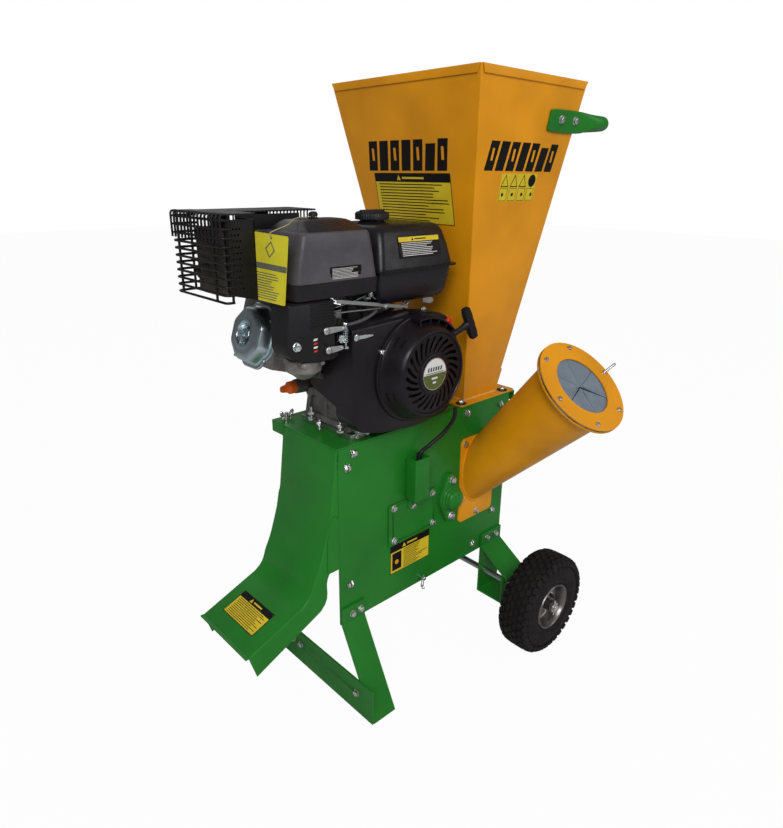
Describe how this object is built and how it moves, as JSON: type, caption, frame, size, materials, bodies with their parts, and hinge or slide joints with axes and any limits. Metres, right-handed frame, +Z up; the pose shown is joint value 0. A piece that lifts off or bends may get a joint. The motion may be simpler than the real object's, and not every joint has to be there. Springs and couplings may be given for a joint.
{
  "type": "wood chipper",
  "caption": "Engine-driven garden chipper shredder: shredding hopper on a hammer rotor chamber, angled branch chute with knife disc, discharge chute, two wheels and front feet.",
  "frame": {"origin": "centre of the bounding box footprint, on the ground under the machine", "axes": "+Z up; +X from the discharge chute and feet towards the wheels and the handle; -Y towards the branch chute and the starter side"},
  "size_m": [0.986, 0.8236, 1.342],
  "materials": {
    "green_paint": "semi-gloss powder coat",
    "orange_paint": "semi-gloss powder coat",
    "black_paint": "satin powder coat",
    "rim_paint": "gloss paint",
    "zinc": "bright zinc plate",
    "rotor_steel": "as rolled",
    "cast_metal": "as cast",
    "cast_iron": "machined",
    "guard_black": "satin",
    "muffler_steel": "heat darkened",
    "rubber": "matt",
    "tyre": "matt",
    "black_plastic": "satin",
    "grey_plastic": "satin",
    "red_plastic": "gloss",
    "orange_plastic": "gloss"
  },
  "bodies": {
    "machine": {"air_cleaner": "grey_plastic", "anvil": "rotor_steel", "axle": "zinc", "belt_guard": "black_paint", "carburettor": "cast_metal", "chipper_bolts": "zinc", "chipper_curtain": "rubber", "chipper_ring": "orange_paint", "chipper_tube": "orange_paint", "crossbar": "green_paint", "deck": "green_paint", "discharge_chute": "green_paint", "drive_belts": "rubber", "engine_block": "cast_metal", "engine_cylinder": "cast_metal", "engine_rails": "cast_metal", "fan_shroud": "black_paint", "far_panel": "green_paint", "frame_bolts": "zinc", "front_leg_far": "green_paint", "front_leg_near": "green_paint", "fuel_tank": "black_plastic", "handle": "green_paint", "hopper": "orange_paint", "hopper_bolts": "zinc", "inspection_plate": "green_paint", "muffler": "muffler_steel", "muffler_guard": "guard_black", "near_panel": "green_paint", "rear_brackets": "green_paint", "rear_wall": "green_paint", "rocker_cover": "cast_metal", "rotor_bearings": "green_paint", "sizing_screen": "rotor_steel", "switch_box": "green_paint", "switch_cable": "black_plastic"},
    "wheel_near": {"rim_near": "rim_paint", "tyre_near": "tyre"},
    "wheel_far": {"rim_far": "rim_paint", "tyre_far": "tyre"},
    "rotor": {"rotor_shaft": "rotor_steel", "rotor_discs": "rotor_steel", "hammer_pins": "rotor_steel", "chipper_disc": "rotor_steel", "chipper_knives": "rotor_steel", "rotor_pulley": "cast_iron"},
    "crank": {"crankshaft": "rotor_steel", "flywheel": "cast_metal", "engine_pulley": "cast_iron"},
    "hammer_bank_a": {"hammers_a": "rotor_steel"},
    "hammer_bank_b": {"hammers_b": "rotor_steel"},
    "hammer_bank_c": {"hammers_c": "rotor_steel"},
    "starter_pull": {"starter_grip": "black_plastic"},
    "tank_cap": {"fuel_cap": "black_plastic"},
    "cleaner_knob": {"air_cleaner_knob": "black_plastic"},
    "choke": {"choke_lever": "black_plastic"},
    "throttle": {"throttle_lever": "black_plastic"},
    "stop_switch": {"engine_switch": "red_plastic"},
    "oil_dipstick": {"dipstick": "orange_plastic"}
  },
  "joints": [
    {"name": "wheel_near_spin", "type": "hinge", "parent": "machine", "child": "wheel_near", "pos_m": [0.24353, -0.25224, 0.1303], "axis": [0, 1, 0], "continuous": true},
    {"name": "wheel_far_spin", "type": "hinge", "parent": "machine", "child": "wheel_far", "pos_m": [0.24353, 0.36376, 0.1303], "axis": [0, 1, 0], "continuous": true},
    {"name": "rotor_spin", "type": "hinge", "parent": "machine", "child": "rotor", "pos_m": [0.08553, 0.05576, 0.409], "axis": [0, 1, 0], "continuous": true},
    {"name": "crank_spin", "type": "hinge", "parent": "machine", "child": "crank", "pos_m": [-0.07447, 0.05576, 0.776], "axis": [0, 1, 0], "continuous": true},
    {"name": "hammer_swing_a", "type": "hinge", "parent": "rotor", "child": "hammer_bank_a", "pos_m": [0.08553, 0.05576, 0.497], "axis": [0, 1, 0], "range_deg": [-80, 80]},
    {"name": "hammer_swing_b", "type": "hinge", "parent": "rotor", "child": "hammer_bank_b", "pos_m": [0.00932, 0.05576, 0.365], "axis": [0, 1, 0], "range_deg": [-80, 80]},
    {"name": "hammer_swing_c", "type": "hinge", "parent": "rotor", "child": "hammer_bank_c", "pos_m": [0.16174, 0.05576, 0.365], "axis": [0, 1, 0], "range_deg": [-80, 80]},
    {"name": "starter_pull_out", "type": "slide", "parent": "machine", "child": "starter_pull", "axis": [0.8792, -0.1869, 0.4384], "range_m": [0, 0.6]},
    {"name": "tank_cap_turn", "type": "hinge", "parent": "machine", "child": "tank_cap", "pos_m": [-0.09447, 0.01776, 1.07], "axis": [0, 0, 1], "range_deg": [0, 90]},
    {"name": "cleaner_knob_turn", "type": "hinge", "parent": "machine", "child": "cleaner_knob", "pos_m": [-0.26447, -0.01424, 1.07], "axis": [0, 0, 1], "range_deg": [0, 900]},
    {"name": "choke_turn", "type": "hinge", "parent": "machine", "child": "choke", "pos_m": [-0.30047, -0.09824, 0.853], "axis": [0, 1, 0], "range_deg": [0, 45]},
    {"name": "throttle_turn", "type": "hinge", "parent": "machine", "child": "throttle", "pos_m": [-0.30447, -0.09824, 0.889], "axis": [0, 1, 0], "range_deg": [-35, 0]},
    {"name": "stop_switch_turn", "type": "hinge", "parent": "machine", "child": "stop_switch", "pos_m": [0.01753, -0.10424, 0.861], "axis": [0, 1, 0], "range_deg": [-45, 0]},
    {"name": "dipstick_turn", "type": "hinge", "parent": "machine", "child": "oil_dipstick", "pos_m": [-0.25447, 0.10576, 0.722], "axis": [-1, 0, 0], "range_deg": [0, 900]}
  ],
  "couplings": [
    {"joint": "crank_spin", "follows": "rotor_spin", "ratio": 1.5}
  ]
}
